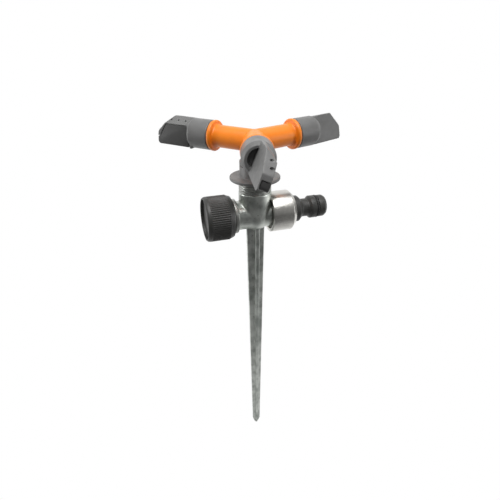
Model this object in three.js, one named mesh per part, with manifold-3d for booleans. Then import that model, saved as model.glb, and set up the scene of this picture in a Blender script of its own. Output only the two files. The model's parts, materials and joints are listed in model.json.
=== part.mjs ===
// Three-arm rotary lawn sprinkler on a ground spike.
// Millimetres, +Z up. The origin is on the spike's axis at its shoulder, where the soil surface is.
// +X runs along the cross pipe towards the hose nipple; the end cap is on the -X side.

import * as THREE from 'three';
import { mergeVertices } from 'three/addons/utils/BufferGeometryUtils.js';
import Module from 'manifold-3d';

const wasm = await Module();
wasm.setup();

// ---- driving dimensions ----

const GAP = 0.3; // clearance between pieces that touch on the real sprinkler
const ROUND = 32; // segments of a turned piece
const SMALL_ROUND = 24; // segments of a small or hidden one
const ROUND_END_STEPS = 8; // steps of the barrel's rounded lower end

const SPIKE_LENGTH = 219.7;
const SPIKE_POINT = 7; // length of the sharpened end
const SPIKE_ROOT = 4.6; // how far the spike's ribs run up into the barrel's rounded end
const SPIKE_TOP = { half: 7.2, thickness: 3.2 };
const SPIKE_FOOT = { half: 3.4, thickness: 2.4 };
const SPIKE_TIP = { half: 0.5, thickness: 0.5 };

const BARREL_RADIUS = 12.5;
const BARREL_TOP = 40.5;
const BARREL_BORE = 9.2;
const RING_PITCH = 1.8; // turned rings round the top of the barrel
const RING_START = 32.4;
const RING_COUNT = 4;
const PIPE_HEIGHT = 13.8;
const PIPE_RADIUS = 11.1;
const PIPE_BORE = 8;

const OUTLET_THREAD = { radius: 13.2, start: 15.2, end: 33 };
const INLET_THREAD = { radius: 12.7, start: 10.2, end: 22.8 };

const CAP = { radius: 17.1, start: 19.3, end: 40, bore: 13.5, floor: 35.2, recess: 2.5, rim: 1.7 };
const CAP_RIBS = 66;
const CAP_RIB_DEPTH = 0.5;
const CAP_WASHER = { inner: 9.5, outer: 13, thickness: 1.6 };

const NUT = { radius: 15.6, start: 10.5, shoulder: 26.8, end: 30, face: 12.4, bore: 13, lip: 10.7 };
const NUT_RELIEF = { radius: 16.2, end: 13 }; // cut into the barrel's side so that the nut can turn
const INLET_WASHER = { inner: 8, outer: 12.4, thickness: 1.5 };
const NIPPLE = {
  flange: 12.4, base: 10.3, neck: 7.1, collar: 8.9, groove: 7.1, nose: 8.6, bore: 4.5, end: 57.5,
};
const NIPPLE_GROOVE = { start: 48.8, end: 51.2 };

const DISC = { radius: 18.9, bottom: 41.75, top: 44.25 };
const PLUG = { radius: 8.9, bottom: 26 };
const CUP = { radius: 11.4, inner: 8.2, floor: 46.6, top: 52.4 };
const RETAINER_TOP = 57.2;
const GASKET_THICKNESS = 0.65;

const STEM = { radius: 4.7, bore: 3, bottom: 33, top: 65, collar: 7.8, collarBottom: 48.5, collarTop: 51 };
const THRUST_WASHER = 1.2;
const STEM_SEAL = { height: 37, tube: 0.75 };

const ARM_HEIGHT = 69.7;
const ARM_RISE = THREE.MathUtils.degToRad(1.2); // the arms rise a little outwards
const ARM_AZIMUTHS = { front: -104.3, right: 15.7, left: 135.7 };
const ARM_RADIUS = 8.1;
const ARM_BORE = 4.2;
const HUB = { radius: 10, bottom: 58.6, shoulder: 5, crotch: 7.8 };
const FLANGE = { radius: 11.3, start: 31.5, end: 34.5 };
const SPIGOT = { radius: 7.6, end: 47.5, groove: 42, grooveWidth: 2, grooveFloor: 5.9 };

const NOZZLE = {
  radius: 11, start: 34.8, shoulder: 50.5, end: 54, ring: 9, bore: 7.9, boreEnd: 48, recess: 7.2,
};
const NOZZLE_SEAL_TUBE = 0.65;
const NOZZLE_TURNS = { front: -22.4, right: 0, left: 0 }; // setting of each nozzle about its arm
const HEAD = { near: -2.7, far: 7, ridge: -0.7, thinEnd: 0.4 }; // across the head, thinner at its end
const PAD = { near: 1.5, far: 7.3, top: 6, bottom: -9.8, start: 52.4 };
const JET_RADIUS = 0.65;

// ---- helpers ----

// A solid for booleans from a closed geometry.
function solid(geometry) {
  const bare = geometry.clone();
  bare.deleteAttribute('normal');
  bare.deleteAttribute('uv');
  const merged = mergeVertices(bare, 1e-4);
  const corners = merged.index.array;
  const triangles = [];
  for (let i = 0; i < corners.length; i += 3) {
    const [a, b, c] = corners.slice(i, i + 3);
    if (a !== b && b !== c && c !== a) triangles.push(a, b, c);
  }
  return new wasm.Manifold(new wasm.Mesh({
    numProp: 3,
    vertProperties: new Float32Array(merged.attributes.position.array),
    triVerts: new Uint32Array(triangles),
  }));
}

function geometryOf(body) {
  const mesh = body.getMesh();
  const geometry = new THREE.BufferGeometry();
  geometry.setAttribute('position', new THREE.BufferAttribute(mesh.vertProperties.slice(), 3));
  geometry.setIndex(new THREE.BufferAttribute(mesh.triVerts.slice(), 1));
  geometry.computeVertexNormals();
  return geometry;
}

// All of the first list joined, then all of the second list cut away.
function carve(added, removed = []) {
  let body = added.map(solid).reduce((whole, piece) => whole.add(piece));
  for (const tool of removed) body = body.subtract(solid(tool));
  return geometryOf(body);
}

// A solid of revolution about Z; the [radius, height] profile runs anticlockwise, radius to the right.
function turned(profile, segments = ROUND) {
  const points = profile.map(([radius, height]) => new THREE.Vector2(radius, height));
  return new THREE.LatheGeometry(points, segments).rotateX(Math.PI / 2);
}

function rod(radius, bottom, top, segments = ROUND) {
  return turned([[0, bottom], [radius, bottom], [radius, top], [0, top]], segments);
}

function ring(inner, outer, thickness) {
  return turned([[inner, 0], [outer, 0], [outer, thickness], [inner, thickness], [inner, 0]], SMALL_ROUND);
}

function oRing(radius, tubeRadius, height) {
  return new THREE.TorusGeometry(radius, tubeRadius, 6, SMALL_ROUND).translate(0, 0, height);
}

// Turns a piece made along Z so that it runs along +X.
function alongX(geometry) {
  return geometry.rotateY(Math.PI / 2);
}

function block(low, high) {
  const size = high.map((value, i) => value - low[i]);
  const centre = high.map((value, i) => (value + low[i]) / 2);
  return new THREE.BoxGeometry(...size).translate(...centre);
}

// A closed outline through corners [x, y, radius], each rounded off by its radius.
function roundedOutline(corners) {
  const outline = new THREE.Shape();
  const count = corners.length;
  corners.forEach(([x, y, radius], i) => {
    const corner = new THREE.Vector2(x, y);
    const before = new THREE.Vector2(...corners[(i + count - 1) % count].slice(0, 2));
    const after = new THREE.Vector2(...corners[(i + 1) % count].slice(0, 2));
    const arrive = corner.clone().add(before.sub(corner).setLength(radius));
    const leave = corner.clone().add(after.sub(corner).setLength(radius));
    if (i === 0) outline.moveTo(arrive.x, arrive.y);
    else outline.lineTo(arrive.x, arrive.y);
    if (radius > 0) outline.quadraticCurveTo(corner.x, corner.y, leave.x, leave.y);
  });
  outline.closePath();
  return outline;
}

function extruded(outline, depth) {
  return new THREE.ExtrudeGeometry(outline, { depth, bevelEnabled: false, curveSegments: 5 });
}

// An outline in (along the arm, up) extruded across the arm from near to far.
function acrossArm(outline, near, far) {
  return extruded(outline, far - near).rotateX(Math.PI / 2).translate(0, far, 0);
}

// ---- materials ----

function material(color, roughness, metalness) {
  return new THREE.MeshStandardMaterial({ color, roughness, metalness });
}

const zinc = material(0x7d837e, 0.45, 0.85);
const nickel = material(0xc9c8c0, 0.25, 1);
const orange = material(0xf0852a, 0.42, 0);
const grey = material(0x76777a, 0.5, 0);
const darkPlastic = material(0x484848, 0.5, 0);
const blackPlastic = material(0x3a3a38, 0.4, 0);
const rubber = material(0x1c1c1c, 0.8, 0);
const acetal = material(0xe6e3da, 0.4, 0);

// ---- spike, barrel and cross pipe: one casting ----

// A plus section that tapers between two sizes; top and foot are { half, thickness }.
function taperedCross(top, foot, topHeight, footHeight) {
  const [h, t] = [top.half, top.thickness / 2];
  const edge = Math.min(0.6, t / 2);
  const outline = roundedOutline([
    [h, -t, edge], [h, t, edge], [t, t, edge], [t, h, edge], [-t, h, edge], [-t, t, edge],
    [-h, t, edge], [-h, -t, edge], [-t, -t, edge], [-t, -h, edge], [t, -h, edge], [t, -t, edge],
  ]);
  const blade = extruded(outline, topHeight - footHeight);
  const spread = (foot.half - foot.thickness / 2) / (h - t);
  const squeeze = (value) => {
    const size = Math.abs(value);
    const narrow = size <= t ? size * foot.thickness / top.thickness : foot.thickness / 2 + (size - t) * spread;
    return Math.sign(value) * narrow;
  };
  const position = blade.attributes.position;
  for (let i = 0; i < position.count; i += 1) {
    const atFoot = position.getZ(i) < 1e-6;
    if (atFoot) position.setXY(i, squeeze(position.getX(i)), squeeze(position.getY(i)));
  }
  return blade.translate(0, 0, footHeight);
}

function spikeBody() {
  const ringRoot = BARREL_RADIUS - 0.9;
  const barrelProfile = [];
  for (let i = 0; i <= ROUND_END_STEPS; i += 1) {
    const angle = i / ROUND_END_STEPS * Math.PI / 2;
    barrelProfile.push([BARREL_RADIUS * Math.sin(angle), PIPE_HEIGHT - BARREL_RADIUS * Math.cos(angle)]);
  }
  barrelProfile.push([BARREL_RADIUS, 24]);
  barrelProfile.push([ringRoot + 0.5, RING_START - 0.6]);
  for (let i = 0; i < RING_COUNT; i += 1) {
    const low = RING_START + i * RING_PITCH;
    barrelProfile.push([ringRoot, low], [BARREL_RADIUS - 0.3, low + 0.5]);
    barrelProfile.push([BARREL_RADIUS - 0.3, low + 1], [ringRoot, low + 1.5]);
  }
  barrelProfile.push([ringRoot, BARREL_TOP], [0, BARREL_TOP]);

  const pipe = alongX(turned([
    [0, -OUTLET_THREAD.end], [OUTLET_THREAD.radius - 0.8, -OUTLET_THREAD.end],
    [OUTLET_THREAD.radius, -OUTLET_THREAD.end + 0.8], [OUTLET_THREAD.radius, -OUTLET_THREAD.start - 0.8],
    [PIPE_RADIUS, -OUTLET_THREAD.start + 0.8], [PIPE_RADIUS, INLET_THREAD.start],
    [INLET_THREAD.radius, INLET_THREAD.start], [INLET_THREAD.radius, INLET_THREAD.end],
    [0, INLET_THREAD.end],
  ])).translate(0, 0, PIPE_HEIGHT);
  const pipeBore = alongX(rod(PIPE_BORE, -OUTLET_THREAD.end - 1, INLET_THREAD.end + 1));
  pipeBore.translate(0, 0, PIPE_HEIGHT);

  const relief = alongX(turned([
    [INLET_THREAD.radius, INLET_THREAD.start], [NUT_RELIEF.radius, INLET_THREAD.start],
    [NUT_RELIEF.radius, NUT_RELIEF.end], [INLET_THREAD.radius, NUT_RELIEF.end],
    [INLET_THREAD.radius, INLET_THREAD.start],
  ])).translate(0, 0, PIPE_HEIGHT);

  const pointHeight = SPIKE_POINT - SPIKE_LENGTH;
  return carve(
    [
      turned(barrelProfile),
      pipe,
      taperedCross(SPIKE_TOP, SPIKE_FOOT, SPIKE_ROOT, pointHeight),
      taperedCross(SPIKE_FOOT, SPIKE_TIP, pointHeight, -SPIKE_LENGTH),
    ],
    [relief, pipeBore, rod(BARREL_BORE, PIPE_HEIGHT, BARREL_TOP + 1)],
  );
}

// ---- inlet side, made along Z from the barrel's axis outwards ----

function inletNut() {
  return turned([
    [NUT.bore, NUT.start], [NUT.radius - 0.5, NUT.start], [NUT.radius, NUT.start + 0.5],
    [NUT.radius, NUT.shoulder], [NUT.face, NUT.end], [NUT.lip, NUT.end],
    [NUT.lip, NUT.shoulder + GAP], [NUT.bore, NUT.shoulder + GAP], [NUT.bore, NUT.start],
  ]);
}

function inletNipple() {
  const flangeStart = INLET_THREAD.end + INLET_WASHER.thickness + 2 * GAP;
  return turned([
    [NIPPLE.bore, flangeStart], [NIPPLE.flange, flangeStart], [NIPPLE.flange, NUT.shoulder],
    [NIPPLE.base, NUT.shoulder], [NIPPLE.base, 34.2], [NIPPLE.neck, 37.8], [NIPPLE.neck, 42.8],
    [NIPPLE.collar, 44.6], [NIPPLE.collar, NIPPLE_GROOVE.start],
    [NIPPLE.groove, NIPPLE_GROOVE.start], [NIPPLE.groove, NIPPLE_GROOVE.end],
    [NIPPLE.nose, NIPPLE_GROOVE.end], [NIPPLE.nose, NIPPLE.end - 2], [NIPPLE.nose - 0.9, NIPPLE.end - 0.4],
    [NIPPLE.nose - 1.4, NIPPLE.end], [NIPPLE.bore, NIPPLE.end], [NIPPLE.bore, flangeStart],
  ]);
}

function nippleORing() {
  const tubeRadius = 0.75;
  const middle = (NIPPLE_GROOVE.start + NIPPLE_GROOVE.end) / 2;
  return oRing(NIPPLE.groove + GAP + tubeRadius, tubeRadius, middle);
}

// ---- outlet side, made along Z from the barrel's axis outwards ----

function endCap() {
  const ribStart = CAP.start + 4;
  const ribEnd = CAP.end - 3;
  const ribs = new THREE.Shape();
  const pitch = 2 * Math.PI / CAP_RIBS;
  for (let i = 0; i < CAP_RIBS; i += 1) {
    const corners = [[0, 0], [0.2, CAP_RIB_DEPTH], [0.5, CAP_RIB_DEPTH], [0.7, 0]];
    for (const [share, depth] of corners) {
      const angle = (i + share) * pitch;
      const radius = CAP.radius - depth;
      const [x, y] = [radius * Math.cos(angle), radius * Math.sin(angle)];
      if (i === 0 && share === 0) ribs.moveTo(x, y);
      else ribs.lineTo(x, y);
    }
  }
  const ribbed = extruded(ribs, ribEnd - ribStart).translate(0, 0, ribStart);
  const inside = CAP.radius - CAP_RIB_DEPTH;
  const ends = turned([
    [0, CAP.start], [CAP.radius - 1.5, CAP.start], [inside, ribStart - 0.4], [inside, ribEnd + 0.2],
    [CAP.radius, ribEnd + 0.4], [CAP.radius - 0.1, CAP.end - 1.6], [CAP.radius - 0.9, CAP.end], [0, CAP.end],
  ]);
  return carve(
    [ribbed, ends],
    [rod(CAP.bore, CAP.start - 1, CAP.floor), rod(CAP.radius - CAP.rim, CAP.end - CAP.recess, CAP.end + 1)],
  );
}

// ---- swivel bearing on top of the barrel ----

function swivelBase() {
  const stemHole = STEM.radius + GAP;
  const sealGroove = [[stemHole, STEM_SEAL.height + 1.1], [stemHole + 1.7, STEM_SEAL.height + 1.1],
    [stemHole + 1.7, STEM_SEAL.height - 1.1], [stemHole, STEM_SEAL.height - 1.1]];
  return turned([
    [stemHole, PLUG.bottom], [PLUG.radius - 0.6, PLUG.bottom], [PLUG.radius, PLUG.bottom + 0.8],
    [PLUG.radius, DISC.bottom], [DISC.radius - 0.5, DISC.bottom], [DISC.radius, DISC.bottom + 0.5],
    [DISC.radius, DISC.top - 0.5], [DISC.radius - 0.5, DISC.top], [CUP.radius, DISC.top],
    [CUP.radius, CUP.top], [CUP.inner, CUP.top], [CUP.inner, CUP.floor], [stemHole, CUP.floor],
    ...sealGroove, [stemHole, PLUG.bottom],
  ]);
}

function swivelCap() {
  const inner = STEM.radius + GAP;
  return turned([
    [inner, CUP.top + GAP], [CUP.radius, CUP.top + GAP], [CUP.radius, RETAINER_TOP - 1.5],
    [CUP.radius - 1.5, RETAINER_TOP], [inner, RETAINER_TOP], [inner, CUP.top + GAP],
  ]);
}

// ---- rotor ----

function rotorStem() {
  return turned([
    [STEM.bore, STEM.bottom], [STEM.radius, STEM.bottom], [STEM.radius, STEM.collarBottom],
    [STEM.collar, STEM.collarBottom], [STEM.collar, STEM.collarTop], [STEM.radius, STEM.collarTop],
    [STEM.radius, STEM.top], [STEM.bore, STEM.top], [STEM.bore, STEM.bottom],
  ]);
}

// The three-way hub, made with its arm axes meeting at the origin.
function armHub() {
  const armProfile = [
    [0, 0], [ARM_RADIUS, 0], [ARM_RADIUS, FLANGE.start - 0.8], [FLANGE.radius - 0.6, FLANGE.start],
    [FLANGE.radius, FLANGE.start + 0.8], [FLANGE.radius, FLANGE.end - 0.6], [FLANGE.radius - 0.6, FLANGE.end],
    [SPIGOT.radius, FLANGE.end], [SPIGOT.radius, SPIGOT.groove], [SPIGOT.grooveFloor, SPIGOT.groove],
    [SPIGOT.grooveFloor, SPIGOT.groove + SPIGOT.grooveWidth],
    [SPIGOT.radius, SPIGOT.groove + SPIGOT.grooveWidth], [SPIGOT.radius, SPIGOT.end], [0, SPIGOT.end],
  ];
  const neck = HUB.bottom - ARM_HEIGHT;
  const added = [
    turned([
      [0, neck], [HUB.radius - 0.6, neck], [HUB.radius, neck + 0.6], [HUB.radius, -HUB.shoulder],
      [HUB.crotch, 0], [0, 0],
    ]),
  ];
  const removed = [rod(STEM.radius + GAP, neck - 1, 0, SMALL_ROUND)];
  for (const azimuth of Object.values(ARM_AZIMUTHS)) {
    const angle = THREE.MathUtils.degToRad(azimuth);
    added.push(alongX(turned(armProfile, SMALL_ROUND)).rotateY(-ARM_RISE).rotateZ(angle));
    removed.push(alongX(rod(ARM_BORE, -1, SPIGOT.end + 1, 12)).rotateY(-ARM_RISE).rotateZ(angle));
  }
  return carve(added, removed);
}

// ---- nozzle, made along +X with the arm's axis as origin; its flat head faces -Y, its pad +Y ----

const HEAD_CORNERS = [ // outline along and above the arm, with corner radii
  [50, -10.6, 0], [81.5, -10.5, 0.9], [82.6, -8.8, 0.8], [80.6, 0, 2], [68.8, 11.4, 2.4], [50, 10.8, 0],
];

function nozzle() {
  const barrel = alongX(turned([
    [0, NOZZLE.start], [NOZZLE.radius - 0.4, NOZZLE.start], [NOZZLE.radius, NOZZLE.start + 0.4],
    [NOZZLE.radius, NOZZLE.shoulder], [NOZZLE.ring, NOZZLE.end], [0, NOZZLE.end],
  ], SMALL_ROUND));
  const side = solid(acrossArm(roundedOutline(HEAD_CORNERS), HEAD.near, HEAD.far));
  const section = extruded(roundedOutline([
    [HEAD.near, -12, 0], [HEAD.far, -12, 0], [HEAD.far, PAD.top + 0.4, 0.6], [HEAD.ridge, 11.2, 0.9],
    [HEAD.near + 0.6, 11.6, 0.4], [HEAD.near, 10.9, 0.3],
  ]), 40).rotateX(Math.PI / 2).rotateZ(Math.PI / 2).translate(45, 0, 0);
  const plan = extruded(roundedOutline([
    [49, HEAD.near - 1, 0], [54, HEAD.near, 0], [83, HEAD.thinEnd, 0], [83, HEAD.far + 1, 0],
    [49, HEAD.far + 1, 0],
  ]), 40).translate(0, 0, -20);
  const head = geometryOf(side.intersect(solid(section)).intersect(solid(plan)));

  const padPocket = block([PAD.start - GAP, PAD.near - GAP, -14], [90, HEAD.far + 3, PAD.top]);
  const slopeSkin = acrossArm(roundedOutline([
    [60, PAD.top + 8, 0], [60, PAD.top - 0.1, 0], [73, PAD.top - 0.1, 0], [79.2, -3.6, 0], [90, -3.6, 0],
    [90, PAD.top + 8, 0],
  ]), HEAD.near - 1, HEAD.far + 4);
  const pocket = geometryOf(solid(padPocket).subtract(solid(slopeSkin)));

  const crescent = alongX(rod(NOZZLE.recess, NOZZLE.boreEnd + 0.6, NOZZLE.end + 1, SMALL_ROUND));
  const keep = block([40, HEAD.near, -20], [60, 20, 20]);
  const recess = geometryOf(solid(crescent).subtract(solid(keep)));

  const channel = acrossArm(roundedOutline([
    [47, -5, 0], [76, -5, 1], [77.6, -2, 1], [69.5, 8.4, 1], [58, 8.4, 1], [55, 5, 1], [47, 5, 0],
  ]), -0.9, 0.8);
  return carve([barrel, head], [
    alongX(rod(NOZZLE.bore, NOZZLE.start - 1, NOZZLE.boreEnd, SMALL_ROUND)), recess, pocket, channel, ...jets(),
  ]);
}

// Jet holes: three along the top slope and two in the slanted end, all leading down into the channel.
function jets() {
  const mouths = [[57, 3.5, 8.7], [63.5, 3.5, 8.7], [70, 3.5, 8.7], [73.6, 4.1, 6.8], [77, 5, 3]];
  return mouths.map(([along, across, up]) => {
    const mouth = new THREE.Vector3(along, across, up);
    const inward = new THREE.Vector3(along > 72 ? -0.45 : 0, -0.9, -0.4).normalize();
    const drill = rod(JET_RADIUS, -3, 4.2, 8);
    drill.applyQuaternion(new THREE.Quaternion().setFromUnitVectors(new THREE.Vector3(0, 0, 1), inward));
    return drill.translate(mouth.x, mouth.y, mouth.z);
  });
}

function nozzlePad() {
  const outline = roundedOutline([
    [PAD.start, PAD.bottom, 0.8], [81.6, PAD.bottom, 2.4], [80.9, -4, 0.4],
    [78.9, -4, 0.4], [72.5, PAD.top - GAP, 0.8], [PAD.start, PAD.top - GAP, 2.4],
  ]);
  return acrossArm(outline, PAD.near, PAD.far);
}

// ---- the sprinkler ----

const sprinkler = new THREE.Group();
sprinkler.name = 'sprinkler';

function place(parent, name, geometry, finish) {
  const mesh = new THREE.Mesh(geometry, finish);
  mesh.name = name;
  parent.add(mesh);
  return mesh;
}

place(sprinkler, 'spike_body', spikeBody(), zinc);

const inlet = new THREE.Group();
inlet.position.z = PIPE_HEIGHT;
inlet.rotation.y = Math.PI / 2;
sprinkler.add(inlet);
place(inlet, 'inlet_nut', inletNut(), nickel);
place(inlet, 'inlet_nipple', inletNipple(), blackPlastic);
place(inlet, 'nipple_o_ring', nippleORing(), rubber);
const inletWasher = ring(INLET_WASHER.inner, INLET_WASHER.outer, INLET_WASHER.thickness);
place(inlet, 'inlet_washer', inletWasher, rubber).position.z = INLET_THREAD.end + GAP;

const outlet = new THREE.Group();
outlet.position.z = PIPE_HEIGHT;
outlet.rotation.y = -Math.PI / 2;
sprinkler.add(outlet);
place(outlet, 'end_cap', endCap(), blackPlastic);
const capWasher = ring(CAP_WASHER.inner, CAP_WASHER.outer, CAP_WASHER.thickness);
place(outlet, 'end_cap_washer', capWasher, rubber).position.z = OUTLET_THREAD.end + GAP;

place(sprinkler, 'swivel_base', swivelBase(), grey);
place(sprinkler, 'swivel_cap', swivelCap(), grey);
const gasket = ring(PLUG.radius + GAP, BARREL_RADIUS - 0.9, GASKET_THICKNESS);
place(sprinkler, 'base_gasket', gasket, rubber).position.z = BARREL_TOP + GAP;
const washerInner = STEM.radius + GAP;
const washerOuter = CUP.inner - GAP;
const lowerWasher = ring(washerInner, washerOuter, THRUST_WASHER);
const lowerHeight = STEM.collarBottom - GAP - THRUST_WASHER;
place(sprinkler, 'thrust_washer_lower', lowerWasher, acetal).position.z = lowerHeight;
const upperWasher = ring(washerInner, washerOuter, THRUST_WASHER);
place(sprinkler, 'thrust_washer_upper', upperWasher, acetal).position.z = STEM.collarTop + GAP;
const sealRadius = STEM.radius + GAP + STEM_SEAL.tube + 0.1;
place(sprinkler, 'stem_seal', oRing(sealRadius, STEM_SEAL.tube, STEM_SEAL.height), rubber);

const rotor = new THREE.Group();
sprinkler.add(rotor);
place(rotor, 'rotor_stem', rotorStem(), nickel);
place(rotor, 'arm_hub', armHub(), orange).position.z = ARM_HEIGHT;

for (const [side, azimuth] of Object.entries(ARM_AZIMUTHS)) {
  const arm = new THREE.Group();
  arm.position.z = ARM_HEIGHT;
  arm.rotation.set(0, -ARM_RISE, THREE.MathUtils.degToRad(azimuth), 'ZYX');
  rotor.add(arm);
  const sealShape = alongX(oRing(SPIGOT.grooveFloor + GAP + NOZZLE_SEAL_TUBE, NOZZLE_SEAL_TUBE, 0));
  const seal = place(arm, `nozzle_seal_${side}`, sealShape, rubber);
  seal.position.x = SPIGOT.groove + SPIGOT.grooveWidth / 2;
  const turn = new THREE.Group();
  turn.rotation.x = THREE.MathUtils.degToRad(NOZZLE_TURNS[side]);
  arm.add(turn);
  place(turn, `nozzle_${side}`, nozzle(), grey);
  place(turn, `nozzle_pad_${side}`, nozzlePad(), darkPlastic);
}

export default sprinkler;
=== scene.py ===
# Garden sprinkler: the looks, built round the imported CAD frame.
# Shapes are made in millimetres in the row frame, or in a nozzle's or pipe's own frame, and scaled to metres.

import json
import math

import bmesh
import bpy
from mathutils import Matrix, Vector


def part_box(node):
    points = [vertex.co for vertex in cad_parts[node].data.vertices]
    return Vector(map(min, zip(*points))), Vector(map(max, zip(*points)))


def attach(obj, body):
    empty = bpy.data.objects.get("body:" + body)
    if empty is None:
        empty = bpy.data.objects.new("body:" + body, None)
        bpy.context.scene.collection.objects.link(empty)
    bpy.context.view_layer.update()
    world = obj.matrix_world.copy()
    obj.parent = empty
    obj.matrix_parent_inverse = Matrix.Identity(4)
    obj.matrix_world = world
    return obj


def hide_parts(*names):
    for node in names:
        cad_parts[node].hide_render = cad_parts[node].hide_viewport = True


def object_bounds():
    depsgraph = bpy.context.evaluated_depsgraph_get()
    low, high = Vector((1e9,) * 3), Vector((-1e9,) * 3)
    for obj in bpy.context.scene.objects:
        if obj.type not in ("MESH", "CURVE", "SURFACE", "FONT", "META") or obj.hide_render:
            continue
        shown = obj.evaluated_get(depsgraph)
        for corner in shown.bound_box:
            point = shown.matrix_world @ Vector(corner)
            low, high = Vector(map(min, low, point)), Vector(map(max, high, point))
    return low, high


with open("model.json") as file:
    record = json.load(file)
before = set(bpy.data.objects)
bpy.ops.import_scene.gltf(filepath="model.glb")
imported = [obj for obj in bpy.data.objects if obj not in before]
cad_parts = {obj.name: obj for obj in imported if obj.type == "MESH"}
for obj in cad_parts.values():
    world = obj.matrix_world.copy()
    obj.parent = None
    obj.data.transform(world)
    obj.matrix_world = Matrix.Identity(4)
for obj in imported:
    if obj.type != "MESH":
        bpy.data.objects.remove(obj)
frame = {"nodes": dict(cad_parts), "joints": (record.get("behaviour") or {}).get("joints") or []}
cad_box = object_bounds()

MM = 0.001
FINE = 128  # columns of a turned piece
JOINTS = {joint["name"]: joint for joint in frame["joints"]}

# ---- sizes from the frame, in millimetres ----


def node_box(node):
    low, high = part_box(node)
    return low / MM, high / MM


PIPE_HEIGHT = JOINTS["nut_turn"]["pos_m"][2] / MM
ARM_HEIGHT = JOINTS["nozzle_front_turn"]["pos_m"][2] / MM
SPIKE_LENGTH = -node_box("spike_body")[0].z
CAP_END = -node_box("end_cap")[0].x
CAP_START = -node_box("end_cap")[1].x
NUT_START, NUT_END = node_box("inlet_nut")[0].x, node_box("inlet_nut")[1].x
NIPPLE_START, NIPPLE_END = node_box("inlet_nipple")[0].x, node_box("inlet_nipple")[1].x
DISC_RADIUS = node_box("swivel_base")[1].x
PLUG_BOTTOM, CUP_TOP = node_box("swivel_base")[0].z, node_box("swivel_base")[1].z
RETAINER_BOTTOM, RETAINER_TOP = node_box("swivel_cap")[0].z, node_box("swivel_cap")[1].z
STEM_BOTTOM, STEM_TOP = node_box("rotor_stem")[0].z, node_box("rotor_stem")[1].z
BARREL_TOP = node_box("spike_body")[1].z
HUB_BOTTOM = node_box("arm_hub")[0].z

# ---- sizes that the frame's boxes do not give, as in the CAD ----

CAP_RADIUS = 17.1
CUP_RADIUS = 11.4
DISC_BOTTOM, DISC_TOP = 41.75, 44.25
BARREL_RADIUS = 12.5
BARREL_BORE = 9.2
PIPE_RADIUS = 11.1
PIPE_BORE = 8.0
PLUG_RADIUS = 8.9
STEM_RADIUS = 4.7
STEM_BORE = 3.0
STEM_COLLAR = 7.8
STEM_HOLE = STEM_RADIUS + 0.3
ARM_RADIUS = 8.1
THREAD_PITCH = 1.814
CAMERA_HEADING = (0.28, 0.96, 0)  # the level direction that the camera looks in
SIDES = ("front", "right", "left")
NOZZLE_TURNS = {"front": -22.4, "right": 0.0, "left": 0.0}  # degrees about the arm

Z_TO_X = Matrix.Rotation(math.pi / 2, 4, "Y")
TO_PLUS_X = Matrix.Translation((0, 0, PIPE_HEIGHT)) @ Z_TO_X
TO_MINUS_X = Matrix.Translation((0, 0, PIPE_HEIGHT)) @ Matrix.Rotation(-math.pi / 2, 4, "Y")
UPRIGHT = Matrix.Identity(4)


def arm_direction(side):
    """Turns +X into the direction of an arm, which rises a little outwards."""
    axis = JOINTS[f"nozzle_{side}_turn"]["axis"]
    rise = math.asin(axis[2])
    return Matrix.Rotation(math.atan2(axis[1], axis[0]), 4, "Z") @ Matrix.Rotation(-rise, 4, "Y")


def arm_frame(side):
    """From a nozzle's own frame, with its arm along +X, to the row frame."""
    turn = Matrix.Rotation(math.radians(NOZZLE_TURNS[side]), 4, "X")
    return Matrix.Translation((0, 0, ARM_HEIGHT)) @ arm_direction(side) @ turn


# ---- mesh helpers ----


def fillet(corners, closed=True, steps=5):
    """Points of an outline whose corners (x, y, radius) are rounded off by true arcs."""
    points = []
    count = len(corners)
    for i, (x, y, radius) in enumerate(corners):
        here = Vector((x, y))
        if radius <= 0 or (not closed and i in (0, count - 1)):
            points.append(here)
            continue
        to_before = (Vector(corners[i - 1][:2]) - here).normalized()
        to_after = (Vector(corners[(i + 1) % count][:2]) - here).normalized()
        half = to_before.angle(to_after) / 2
        reach = radius / math.tan(half)
        centre = here + (to_before + to_after).normalized() * (radius / math.sin(half))
        start, end = here + to_before * reach - centre, here + to_after * reach - centre
        sweep = start.angle_signed(end)
        for k in range(steps + 1):
            turned = start.copy()
            turned.rotate(Matrix.Rotation(-sweep * k / steps, 2))
            points.append(centre + turned)
    return points


def mesh_object(name, bm, place=UPRIGHT):
    """An object from a mesh made in millimetres, shaded smooth except across sharp edges."""
    bmesh.ops.recalc_face_normals(bm, faces=bm.faces)
    mesh = bpy.data.meshes.new(name)
    bm.to_mesh(mesh)
    bm.free()
    mesh.transform(place)
    mesh.shade_smooth()
    mesh.set_sharp_from_angle(angle=math.radians(35))
    obj = bpy.data.objects.new(name, mesh)
    bpy.context.scene.collection.objects.link(obj)
    return obj


def grid_of_rings(rings, closed_loop):
    """Quads between neighbouring rings of points; caps the two ends unless the rings close on themselves."""
    bm = bmesh.new()
    rows = [[bm.verts.new(point) for point in ring] for ring in rings]
    count = len(rings[0])
    pairs = list(zip(rows, rows[1:]))
    if closed_loop:
        pairs.append((rows[-1], rows[0]))
    for low, high in pairs:
        for i in range(count):
            j = (i + 1) % count
            bm.faces.new((low[i], low[j], high[j], high[i]))
    if not closed_loop:
        bm.faces.new(reversed(rows[0]))
        bm.faces.new(rows[-1])
    return bm


def circle(radius, height, columns=FINE, wave=None):
    """A ring of points at one height; wave(angle) adds to the radius."""
    angles = [2 * math.pi * i / columns for i in range(columns)]
    radii = [radius + (wave(angle) if wave else 0) for angle in angles]
    return [(r * math.cos(a), r * math.sin(a), height) for r, a in zip(radii, angles)]


def turned(corners, columns=FINE, hollow=False):
    """A solid of revolution about Z from a profile of (radius, height, fillet).

    A solid profile starts and ends near the axis; a hollow one closes on itself."""
    profile = fillet(corners, closed=hollow, steps=4)
    return grid_of_rings([circle(max(p.x, 1e-3), p.y, columns) for p in profile], hollow)


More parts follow.
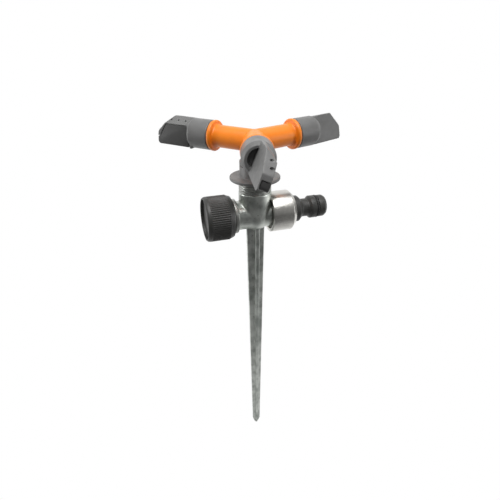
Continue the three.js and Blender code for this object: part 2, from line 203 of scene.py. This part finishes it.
def prism(outline, low, high):
    """An outline in (x, z) extruded along y from low to high."""
    return grid_of_rings([[(p.x, y, p.y) for p in outline] for y in (low, high)], False)


def applied(obj):
    """Replaces the object's mesh by what its modifiers make of it."""
    graph = bpy.context.evaluated_depsgraph_get()
    mesh = bpy.data.meshes.new_from_object(obj.evaluated_get(graph))
    obj.modifiers.clear()
    obj.data = mesh
    return obj


def combine(obj, tools, operation):
    """Joins or cuts obj with other objects, which are used up."""
    for tool in tools:
        modifier = obj.modifiers.new(operation, "BOOLEAN")
        modifier.operation, modifier.solver, modifier.object = operation, "MANIFOLD", tool
        applied(obj)
        bpy.data.objects.remove(tool)
    return obj


def moulded(obj, voxel, rounds):
    """Remeshes a solid evenly and eases its edges, as a moulded or cast piece has them."""
    remesh = obj.modifiers.new("remesh", "REMESH")
    remesh.mode, remesh.voxel_size = "VOXEL", voxel
    smooth = obj.modifiers.new("smooth", "SMOOTH")
    smooth.factor, smooth.iterations = 0.5, rounds
    return applied(obj)


def bevelled(obj, width, angle):
    """Bevels the edges sharper than an angle in degrees."""
    bevel = obj.modifiers.new("bevel", "BEVEL")
    bevel.width, bevel.segments = width, 3
    bevel.limit_method, bevel.angle_limit = "ANGLE", math.radians(angle)
    return applied(obj)


def finished(obj, body, node, material):
    """Scales a piece to metres, gives it its material, ties it to its body and hides the CAD node it stands
    in for.
    """
    obj.data.transform(Matrix.Scale(MM, 4))
    obj.data.shade_smooth()
    obj.data.set_sharp_from_angle(angle=math.radians(40))
    obj.data.materials.clear()
    obj.data.materials.append(material)
    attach(obj, body)
    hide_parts(node)
    return obj


# ---- materials ----


def new_material(name):
    material = bpy.data.materials.new(name)
    material.use_nodes = True
    tree = material.node_tree
    shader = tree.nodes["Principled BSDF"]
    coordinates = tree.nodes.new("ShaderNodeTexCoord").outputs["Object"]
    return material, tree, shader, coordinates


def noise(tree, coordinates, scale, detail=3.0, stretch=(1, 1, 1)):
    """A noise value over the piece; stretch scales the pattern along each axis."""
    mapping = tree.nodes.new("ShaderNodeMapping")
    mapping.inputs["Scale"].default_value = stretch
    tree.links.new(coordinates, mapping.inputs["Vector"])
    texture = tree.nodes.new("ShaderNodeTexNoise")
    texture.inputs["Scale"].default_value = scale
    texture.inputs["Detail"].default_value = detail
    tree.links.new(mapping.outputs["Vector"], texture.inputs["Vector"])
    return texture.outputs["Fac"]


def ramp(tree, value, stops):
    """A colour ramp of (position, colour) stops."""
    node = tree.nodes.new("ShaderNodeValToRGB")
    elements = node.color_ramp.elements
    while len(elements) < len(stops):
        elements.new(0.5)
    for element, (position, colour) in zip(elements, stops):
        element.position, element.color = position, (*colour, 1)
    tree.links.new(value, node.inputs["Fac"])
    return node.outputs["Color"]


def spread(tree, value, low, high):
    """Maps a noise value to a range of roughness."""
    node = tree.nodes.new("ShaderNodeMapRange")
    node.inputs["From Min"].default_value, node.inputs["From Max"].default_value = 0.3, 0.7
    node.inputs["To Min"].default_value, node.inputs["To Max"].default_value = low, high
    tree.links.new(value, node.inputs["Value"])
    return node.outputs["Result"]


def bump(tree, shader, value, distance, strength=1.0):
    node = tree.nodes.new("ShaderNodeBump")
    node.inputs["Distance"].default_value = distance
    node.inputs["Strength"].default_value = strength
    tree.links.new(value, node.inputs["Height"])
    tree.links.new(node.outputs["Normal"], shader.inputs["Normal"])


def shade(colour, factor):
    return tuple(channel * factor for channel in colour)


def plastic(name, colour, roughness, variation=0.12, grain=0.00002):
    """Moulded plastic: faint cloudiness, uneven gloss and a fine moulded grain."""
    material, tree, shader, coordinates = new_material(name)
    clouds = noise(tree, coordinates, 90)
    stops = [(0.3, shade(colour, 1 - variation)), (0.7, shade(colour, 1 + variation))]
    tree.links.new(ramp(tree, clouds, stops), shader.inputs["Base Color"])
    gloss = noise(tree, coordinates, 260, detail=5)
    tree.links.new(spread(tree, gloss, roughness - 0.06, roughness + 0.08), shader.inputs["Roughness"])
    bump(tree, shader, noise(tree, coordinates, 2600, detail=2), grain, 0.6)
    shader.inputs["IOR"].default_value = 1.5
    return material


def metal(name, colour, dark, roughness, metallic, cloud_scale, stretch=(1, 1, 1), relief=0.00003, fine=900):
    """Metal with mottled colour and roughness and a fine surface relief."""
    material, tree, shader, coordinates = new_material(name)
    clouds = noise(tree, coordinates, cloud_scale, detail=6)
    tree.links.new(ramp(tree, clouds, [(0.35, dark), (0.62, colour)]), shader.inputs["Base Color"])
    streaks = noise(tree, coordinates, fine, detail=4, stretch=stretch)
    tree.links.new(spread(tree, streaks, roughness - 0.08, roughness + 0.1), shader.inputs["Roughness"])
    bump(tree, shader, streaks, relief, 0.5)
    shader.inputs["Metallic"].default_value = metallic
    return material


ZINC = metal("zinc_casting", (0.69, 0.72, 0.68), (0.37, 0.395, 0.37), 0.35, 0.95, 110)
TURNED_ZINC = metal("turned_zinc", (0.48, 0.49, 0.47), (0.37, 0.38, 0.36), 0.4, 0.95, 150)
NICKEL = metal("satin_nickel", (0.70, 0.69, 0.65), (0.6, 0.59, 0.56), 0.3, 1.0, 160,
               stretch=(14, 1, 1), relief=0.000012, fine=1100)
ORANGE = plastic("orange_plastic", (0.86, 0.225, 0.008), 0.38, variation=0.06)
GREY = plastic("grey_plastic", (0.138, 0.138, 0.136), 0.42)
DARK = plastic("dark_plastic", (0.047, 0.047, 0.046), 0.5)
BLACK = plastic("black_plastic", (0.035, 0.035, 0.033), 0.42)
RUBBER = plastic("seal_rubber", (0.016, 0.016, 0.016), 0.6, grain=0.00001)
ACETAL = plastic("white_acetal", (0.75, 0.73, 0.68), 0.4)

# ---- the stand: casting, spike and threads ----


def lathe_object(name, corners, place=UPRIGHT, hollow=False, columns=FINE):
    return mesh_object(name, turned(corners, columns, hollow), place)


def thread(name, bore, root, crest, start, end, place, runout=1.2):
    """A tube with a helical outside thread that fades out at both ends."""
    columns, rows_per_turn = 96, 10
    rows = round((end - start) / THREAD_PITCH * rows_per_turn)
    rings = [circle(bore, start, columns)]
    for row in range(rows + 1):
        height = start + (end - start) * row / rows
        fade = min(1, (height - start) / runout, (end - height) / runout)

        def ridge(angle, height=height, fade=fade):
            phase = (height / THREAD_PITCH - angle / (2 * math.pi)) % 1
            wave = min(1, max(0, 1.5 - 4 * abs(phase - 0.5)))
            return (crest - root) * wave * max(0, fade)

        rings.append(circle(root, height, columns, ridge))
    rings.append(circle(bore, end, columns))
    return mesh_object(name, grid_of_rings(rings, True), place)


def casting():
    """Barrel and cross pipe, cast in one with soft fillets where they meet."""
    rim = BARREL_TOP - 8.1
    steps = 12
    rounded_end = [(BARREL_RADIUS * math.sin(a), PIPE_HEIGHT - BARREL_RADIUS * math.cos(a), 0)
                   for a in (k / steps * math.pi / 2 for k in range(steps + 1))]
    barrel = lathe_object("casting", [*rounded_end, (BARREL_RADIUS, rim, 0.4), (0, rim, 0)], columns=96)
    pipe = lathe_object("pipe", [(0, -16, 0), (PIPE_RADIUS, -16, 0), (PIPE_RADIUS, 12.6, 0), (0, 12.6, 0)],
                        TO_PLUS_X, columns=96)
    combine(barrel, [pipe], "UNION")
    pipe_bore = lathe_object("pipe_bore", [(0, -20, 0), (PIPE_BORE, -20, 0), (PIPE_BORE, 20, 0), (0, 20, 0)],
                             TO_PLUS_X, columns=64)
    top_bore = lathe_object("top_bore", [
        (0, PIPE_HEIGHT, 0), (BARREL_BORE, PIPE_HEIGHT, 0), (BARREL_BORE, 50, 0), (0, 50, 0),
    ], columns=64)
    relief = lathe_object("relief", [(12.7, 10.2, 0), (16.2, 10.2, 0), (16.2, 14, 0), (12.7, 14, 0)],
                          TO_PLUS_X, hollow=True, columns=96)
    combine(barrel, [pipe_bore, top_bore, relief], "DIFFERENCE")
    return moulded(barrel, 0.4, 8)


def spike():
    """The plus-section spike: rounded rib edges, a cast-in fillet at the shoulder and a ground point."""
    point = 7.0
    levels = [  # height, half width across the ribs, rib thickness
        (4.6, 7.4, 4.4), (3.2, 7.4, 4.0), (2.0, 7.3, 3.5), (0.6, 7.2, 3.2), (-1.8, 7.2, 3.2),
    ]
    blade_length = SPIKE_LENGTH - point
    steps = 24
    for k in range(1, steps + 1):
        share = k / steps
        levels.append((-1.8 - (blade_length - 1.8) * share, 7.2 - 3.8 * share, 3.2 - 0.8 * share))
    levels.append((-SPIKE_LENGTH + point * 0.45, 2.1, 1.7))
    levels.append((-SPIKE_LENGTH + 0.4, 0.6, 0.55))
    levels.append((-SPIKE_LENGTH, 0.3, 0.28))
    rings = []
    for height, half, thickness in levels:
        t = thickness / 2
        edge, root = t * 0.45, min(0.7, (half - t) * 0.3)
        corners = []
        for quarter in range(4):
            for x, y, radius in ((half, -t, edge), (half, t, edge), (t, t, root)):
                c, s = round(math.cos(quarter * math.pi / 2)), round(math.sin(quarter * math.pi / 2))
                corners.append((c * x - s * y, s * x + c * y, radius))
        rings.append([(p.x, p.y, height) for p in fillet(corners, steps=4)])
    return mesh_object("spike", grid_of_rings(rings, False))


def stand_pieces():
    finished(casting(), "stand", "spike_body", ZINC)
    finished(spike(), "stand", "spike_body", ZINC)
    barrel_thread = thread("barrel_rings", BARREL_BORE, BARREL_RADIUS - 0.8, BARREL_RADIUS - 0.2,
                           BARREL_TOP - 8.6, BARREL_TOP, UPRIGHT, runout=0.6)
    finished(barrel_thread, "stand", "spike_body", TURNED_ZINC)
    outlet = thread("outlet_thread", PIPE_BORE, 12.1, 13.2, 17.6, 33, TO_MINUS_X)
    finished(outlet, "stand", "spike_body", TURNED_ZINC)
    collar = lathe_object("outlet_collar", [
        (PIPE_BORE, 14.9, 0), (11.4, 14.9, 0.3), (13.2, 15.9, 0.3), (13.2, 18.1, 0.4), (12, 18.4, 0),
        (PIPE_BORE, 18.4, 0),
    ], TO_MINUS_X, hollow=True)
    finished(collar, "stand", "spike_body", TURNED_ZINC)
    inlet = thread("inlet_thread", PIPE_BORE, 11.7, 12.65, 12.2, 22.8, TO_PLUS_X)
    finished(inlet, "stand", "spike_body", TURNED_ZINC)


# ---- inlet: nut and nipple ----


def inlet_pieces():
    shoulder = NUT_END - 3.2
    nut = lathe_object("union_nut", [
        (13.0, NUT_START, 0.3), (15.6, NUT_START, 0.6), (15.6, shoulder, 0.5), (12.4, NUT_END, 0.4),
        (10.7, NUT_END, 0.3), (10.7, 27.1, 0.2), (13.0, 27.1, 0.2),
    ], TO_PLUS_X, hollow=True)
    finished(nut, "nut", "inlet_nut", NICKEL)

    nipple = lathe_object("nipple", [
        (4.5, NIPPLE_START, 0.2), (12.4, NIPPLE_START, 0.2), (12.4, 26.8, 0.2), (10.3, 26.8, 0.1),
        (10.3, 34.2, 0.6), (7.1, 37.6, 1.6), (7.1, 42.9, 0.8), (8.9, 44.7, 0.6), (8.9, 48.8, 0.25),
        (7.1, 48.8, 0.2), (7.1, 51.2, 0.2), (8.6, 51.2, 0.25), (8.6, NIPPLE_END - 1.9, 1.2),
        (7.4, NIPPLE_END, 0.7), (4.5, NIPPLE_END, 0.5),
    ], TO_PLUS_X, hollow=True)
    finished(nipple, "nipple", "inlet_nipple", BLACK)

    ring = grid_of_rings([circle(8.15 + 0.8 * math.cos(a), 50 + 0.8 * math.sin(a))
                          for a in (2 * math.pi * k / 16 for k in range(16))], True)
    finished(mesh_object("nipple_seal", ring, TO_PLUS_X), "nipple", "nipple_o_ring", RUBBER)


# ---- outlet: ribbed end cap ----


def end_cap():
    ribs, per_rib = 66, 8
    rib_start, rib_end = CAP_START + 3.6, CAP_END - 3.0
    floor, recess, rim = CAP_END - 4.8, 2.5, 1.7
    profile = fillet([
        (13.5, CAP_START, 0.3), (CAP_RADIUS - 1.5, CAP_START, 0.5), (CAP_RADIUS - 0.35, rib_start - 0.5, 0.5),
        (CAP_RADIUS, rib_start, 0), (CAP_RADIUS, rib_start + 0.9, 0), (CAP_RADIUS, rib_end - 0.9, 0),
        (CAP_RADIUS, rib_end, 0), (CAP_RADIUS, rib_end + 0.5, 0.2), (CAP_RADIUS - 0.15, CAP_END - 1.3, 0.9),
        (CAP_RADIUS - 0.9, CAP_END, 0.5), (CAP_RADIUS - rim, CAP_END, 0.3),
        (CAP_RADIUS - rim, CAP_END - recess, 0.3), (0.001, CAP_END - recess, 0),
        (0.001, floor, 0), (13.5, floor, 0.3),
    ], steps=4)
    rings = []
    for point in profile:
        inside_ribs = rib_start + 0.1 < point.y < rib_end - 0.1 and point.x > CAP_RADIUS - 0.1

        def groove(angle, cut=inside_ribs):
            wave = 0.5 - 0.5 * math.cos(ribs * angle)
            return -0.55 * wave ** 1.5 if cut else 0

        rings.append(circle(point.x, point.y, ribs * per_rib, groove))
    cap = mesh_object("ribbed_cap", grid_of_rings(rings, True), TO_MINUS_X)
    finished(cap, "cap", "end_cap", BLACK)


# ---- swivel on the barrel ----


def swivel_pieces():
    base = lathe_object("swivel_flange", [
        (STEM_HOLE, PLUG_BOTTOM, 0.2), (PLUG_RADIUS, PLUG_BOTTOM, 0.5), (PLUG_RADIUS, DISC_BOTTOM, 0.1),
        (DISC_RADIUS, DISC_BOTTOM, 0.8), (DISC_RADIUS, DISC_TOP, 0.8), (CUP_RADIUS, DISC_TOP, 0.7),
        (CUP_RADIUS, CUP_TOP, 0.3),
        (8.2, CUP_TOP, 0.2), (8.2, 46.6, 0.3), (STEM_HOLE, 46.6, 0.2),
    ], hollow=True)
    finished(base, "stand", "swivel_base", GREY)
    retainer = lathe_object("swivel_retainer", [
        (STEM_HOLE, RETAINER_BOTTOM, 0.2), (CUP_RADIUS, RETAINER_BOTTOM, 0.3),
        (CUP_RADIUS, RETAINER_TOP - 1.5, 0.8),
        (9.9, RETAINER_TOP, 0.8), (STEM_HOLE, RETAINER_TOP, 0.3),
    ], hollow=True)
    finished(retainer, "stand", "swivel_cap", GREY)
    stem = lathe_object("stem", [
        (STEM_BORE, STEM_BOTTOM, 0.2), (STEM_RADIUS, STEM_BOTTOM, 0.5), (STEM_RADIUS, 48.5, 0.1),
        (STEM_COLLAR, 48.5, 0.3), (STEM_COLLAR, 51, 0.3), (STEM_RADIUS, 51, 0.1),
        (STEM_RADIUS, STEM_TOP, 0.5), (STEM_BORE, STEM_TOP, 0.2),
    ], hollow=True, columns=64)
    finished(stem, "rotor", "rotor_stem", NICKEL)


# ---- rotor: hub with three arms ----


def hub():
    neck = HUB_BOTTOM - ARM_HEIGHT
    body = lathe_object("hub_arms", [(0, neck, 0), (10, neck, 0.6), (10, -5, 0), (7.8, 0, 0), (0, 0, 0)],
                        columns=96)
    arm_profile = [
        (0, 0, 0), (ARM_RADIUS, 0, 0), (ARM_RADIUS, 31.2, 0.8), (11.3, 31.6, 1.1), (11.3, 34.5, 0.9),
        (7.6, 34.5, 0.2), (7.6, 42, 0), (5.9, 42, 0), (5.9, 44, 0), (7.6, 44, 0), (7.6, 47.5, 0.4),
        (0, 47.5, 0),
    ]
    bore = [(0, -1, 0), (4.2, -1, 0), (4.2, 60, 0), (0, 60, 0)]
    arms, bores = [], []
    for side in SIDES:
        outward = arm_direction(side) @ Z_TO_X
        arms.append(lathe_object("arm", arm_profile, outward, columns=96))
        bores.append(lathe_object("bore", bore, outward, columns=32))
    stem_hole = [(0, neck - 1, 0), (STEM_HOLE, neck - 1, 0), (STEM_HOLE, 0, 0), (0, 0, 0)]
    bores.append(lathe_object("stem_hole", stem_hole, columns=48))
    combine(body, arms, "UNION")
    combine(body, bores, "DIFFERENCE")
    moulded(body, 0.4, 8)
    body.data.transform(Matrix.Translation((0, 0, ARM_HEIGHT)))
    finished(body, "rotor", "arm_hub", ORANGE)


# ---- nozzles, in their own frame: arm along +X, flat face towards -Y, pad towards +Y ----

FLAT, RIDGE, BACK = -2.7, -0.7, 7.0  # across the head
THIN_END = 0.4  # where the flat face, which leans inwards, reaches the head's end
PAD_START, PAD_NEAR, PAD_FAR, PAD_TOP, PAD_BOTTOM = 52.4, 1.5, 7.3, 6.0, -9.8


def slab(name, corners, low, high):
    return mesh_object(name, prism(fillet(corners), low, high))


def nozzle_head():
    """The flat head: its side outline, cross-section and plan cut from one another."""
    side = slab("head", [
        (50, -10.6, 0), (81.5, -10.5, 0.9), (82.6, -8.8, 0.9), (80.6, 0, 3), (68.8, 11.4, 3), (50, 10.8, 0),
    ], FLAT, BACK)
    section = grid_of_rings([[(x, p.x, p.y) for p in fillet([
        (FLAT, -12, 0), (BACK, -12, 0), (BACK, PAD_TOP + 0.4, 0.8), (RIDGE, 11.2, 1.4),
        (FLAT + 0.5, 11.5, 0.3), (FLAT, 10.9, 0.2),
    ])] for x in (45, 90)], False)
    plan = grid_of_rings([[(p.x, p.y, z) for p in fillet([
        (49, FLAT - 1, 0), (54, FLAT, 0), (83, THIN_END, 0), (83, BACK + 1, 0), (49, BACK + 1, 0),
    ])] for z in (-20, 20)], False)
    return combine(side, [mesh_object("section", section), mesh_object("plan", plan)], "INTERSECT")


def jet_tools():
    """Blind holes: three along the top slope and two in the slanted end."""
    mouths = [(57, 3.5, 8.7), (63.5, 3.5, 8.7), (70, 3.5, 8.7), (73.6, 4.1, 6.8), (77, 5, 3)]
    tools = []
    for mouth in mouths:
        inward = Vector((-0.45 if mouth[0] > 72 else 0, -0.9, -0.4))
        place = Matrix.Translation(mouth) @ inward.to_track_quat("Z", "Y").to_matrix().to_4x4()
        radius = 0.95 if mouth == mouths[-1] else 0.65
        tools.append(lathe_object("jet", [(0, -3, 0), (radius, -3, 0), (radius, 2.4, 0), (0, 2.4, 0)],
                                  place, columns=24))
    return tools


def nozzle_body():
    barrel = lathe_object("nozzle", [
        (0, 34.8, 0), (11, 34.8, 0.4), (11, 50.5, 0.6), (9, 54, 0.3), (0, 54, 0),
    ], Z_TO_X, columns=96)
    combine(barrel, [nozzle_head()], "UNION")
    bore = lathe_object("bore", [(0, 30, 0), (7.9, 30, 0), (7.9, 48, 0), (0, 48, 0)], Z_TO_X, columns=64)
    recess = lathe_object("recess", [(0, 48.6, 0), (7.2, 48.6, 0), (7.2, 60, 0), (0, 60, 0)],
                          Z_TO_X, columns=64)
    keep = slab("keep", [(40, -20, 0), (61, -20, 0), (61, 20, 0), (40, 20, 0)], FLAT, 20)
    combine(recess, [keep], "DIFFERENCE")
    pocket = slab("pocket", [
        (PAD_START - 0.3, -14, 0), (90, -14, 0), (90, -3.6, 0), (79.2, -3.6, 0), (73, PAD_TOP, 0),
        (PAD_START - 0.3, PAD_TOP, 2.6),
    ], PAD_NEAR - 0.3, 10)
    combine(barrel, [bore, recess, pocket, *jet_tools()], "DIFFERENCE")
    return moulded(barrel, 0.3, 3)


def pad():
    shape = slab("pad", [
        (PAD_START, PAD_BOTTOM, 0.8), (81.6, PAD_BOTTOM, 2.4), (80.9, -4, 0.4),
        (78.9, -4, 0.3), (72.5, PAD_TOP - 0.3, 0.8), (PAD_START, PAD_TOP - 0.3, 2.4),
    ], PAD_NEAR, PAD_FAR)
    return bevelled(shape, 0.35, 50)


def nozzles():
    body, insert = nozzle_body(), pad()
    for side in SIDES:
        for source, name, node, slot, material in (
            (body, f"nozzle_body_{side}", f"nozzle_{side}", "grey_plastic", GREY),
            (insert, f"pad_{side}", f"nozzle_pad_{side}", "dark_plastic", DARK),
        ):
            mesh = source.data.copy()
            mesh.transform(arm_frame(side))
            piece = bpy.data.objects.new(name, mesh)
            bpy.context.scene.collection.objects.link(piece)
            finished(piece, f"nozzle_{side}", node, material)
    bpy.data.objects.remove(body)
    bpy.data.objects.remove(insert)


# ---- CAD pieces that stay as they are ----


def keep_inner_pieces():
    finishes = {"thrust_washer_lower": ACETAL, "thrust_washer_upper": ACETAL}
    for node in ("base_gasket", "inlet_washer", "end_cap_washer", "stem_seal",
                 "nozzle_seal_front", "nozzle_seal_right", "nozzle_seal_left",
                 "thrust_washer_lower", "thrust_washer_upper"):
        obj = frame["nodes"][node]
        obj.data.materials.clear()
        obj.data.materials.append(finishes.get(node, RUBBER))


# ---- camera, floor and lights ----


def camera():
    azimuth, elevation, roll = math.radians(-16.25), math.radians(27.9), math.radians(-0.7)
    aim, distance = Vector((-0.0045, 0, -0.0176)), 0.3362
    back = Vector((math.sin(azimuth) * math.cos(elevation), -math.cos(azimuth) * math.cos(elevation),
                   math.sin(elevation)))
    data = bpy.data.cameras.new("camera")
    data.lens, data.sensor_width = 29.94, 36
    data.clip_start = 0.01
    obj = bpy.data.objects.new("camera", data)
    bpy.context.scene.collection.objects.link(obj)
    turn = back.to_track_quat("Z", "Y").to_matrix().to_4x4()
    obj.matrix_world = Matrix.Translation(aim + back * distance) @ turn @ Matrix.Rotation(roll, 4, "Z")
    bpy.context.scene.camera = obj


def seen_white(tree, lit):
    """White where the camera looks straight at it; otherwise what lit gives."""
    seen = tree.nodes.new("ShaderNodeEmission")
    seen.inputs["Color"].default_value = (1, 1, 1, 1)
    path = tree.nodes.new("ShaderNodeLightPath")
    mix = tree.nodes.new("ShaderNodeMixShader")
    tree.links.new(path.outputs["Is Camera Ray"], mix.inputs[0])
    tree.links.new(lit, mix.inputs[1])
    tree.links.new(seen.outputs["Emission"], mix.inputs[2])
    return mix.outputs["Shader"]


def away_from_camera(tree, coordinates, near, far, dim, bright):
    """A value that rises from dim to bright between two distances along the camera's heading."""
    dot = tree.nodes.new("ShaderNodeVectorMath")
    dot.operation = "DOT_PRODUCT"
    dot.inputs[1].default_value = CAMERA_HEADING
    tree.links.new(coordinates, dot.inputs[0])
    value = tree.nodes.new("ShaderNodeMapRange")
    value.inputs["From Min"].default_value, value.inputs["From Max"].default_value = near, far
    value.inputs["To Min"].default_value, value.inputs["To Max"].default_value = dim, bright
    tree.links.new(dot.outputs["Value"], value.inputs["Value"])
    return value.outputs["Result"]


def floor():
    bm = bmesh.new()
    bmesh.ops.create_grid(bm, x_segments=1, y_segments=1, size=30)
    mesh = bpy.data.meshes.new("floor")
    bm.to_mesh(mesh)
    bm.free()
    obj = bpy.data.objects.new("floor", mesh)
    obj.location.z = cad_box[0].z - 0.0003
    bpy.context.scene.collection.objects.link(obj)
    material, tree, shader, coordinates = new_material("floor")
    # Painted shade: away from camera rays the floor's colour runs from dark on the camera's side to bright
    # behind. It stands in for a shadow in front and darkens the undersides and the metals' reflections of the
    # front.
    painted_floor_shade = away_from_camera(tree, coordinates, -0.22, 0.2, 0.08, 0.85)
    tree.links.new(painted_floor_shade, shader.inputs["Base Color"])
    shader.inputs["Roughness"].default_value = 0.9
    tree.links.new(seen_white(tree, shader.outputs["BSDF"]), tree.nodes["Material Output"].inputs["Surface"])
    mesh.materials.append(material)


def softbox(name, place, aim, size, power):
    data = bpy.data.lights.new(name, "AREA")
    data.shape, data.size, data.size_y, data.energy = "RECTANGLE", size[0], size[1], power
    obj = bpy.data.objects.new(name, data)
    obj.location = place
    obj.rotation_euler = (Vector(place) - Vector(aim)).to_track_quat("Z", "Y").to_euler()
    bpy.context.scene.collection.objects.link(obj)


def studio():
    centre = (0, 0, 0.02)
    softbox("overhead", (-0.1, -0.35, 1.15), centre, (1.2, 0.9), 17)
    softbox("right", (0.95, -0.5, 0.12), centre, (0.35, 0.6), 2.4)
    softbox("left", (-0.94, 0.34, 0.05), centre, (0.4, 0.6), 3.6)
    world = bpy.data.worlds.new("studio")
    bpy.context.scene.world = world
    world.use_nodes = True
    tree = world.node_tree
    direction = tree.nodes.new("ShaderNodeTexCoord").outputs["Generated"]
    lit = tree.nodes["Background"]
    lit.inputs["Color"].default_value = (1, 1, 1, 1)
    tree.links.new(away_from_camera(tree, direction, -0.5, 0.9, 0.19, 1.1), lit.inputs["Strength"])
    tree.links.new(seen_white(tree, lit.outputs["Background"]), tree.nodes["World Output"].inputs["Surface"])
    bpy.context.scene.view_settings.view_transform = "Standard"


camera()
floor()
studio()
stand_pieces()
inlet_pieces()
end_cap()
swivel_pieces()
hub()
nozzles()
keep_inner_pieces()
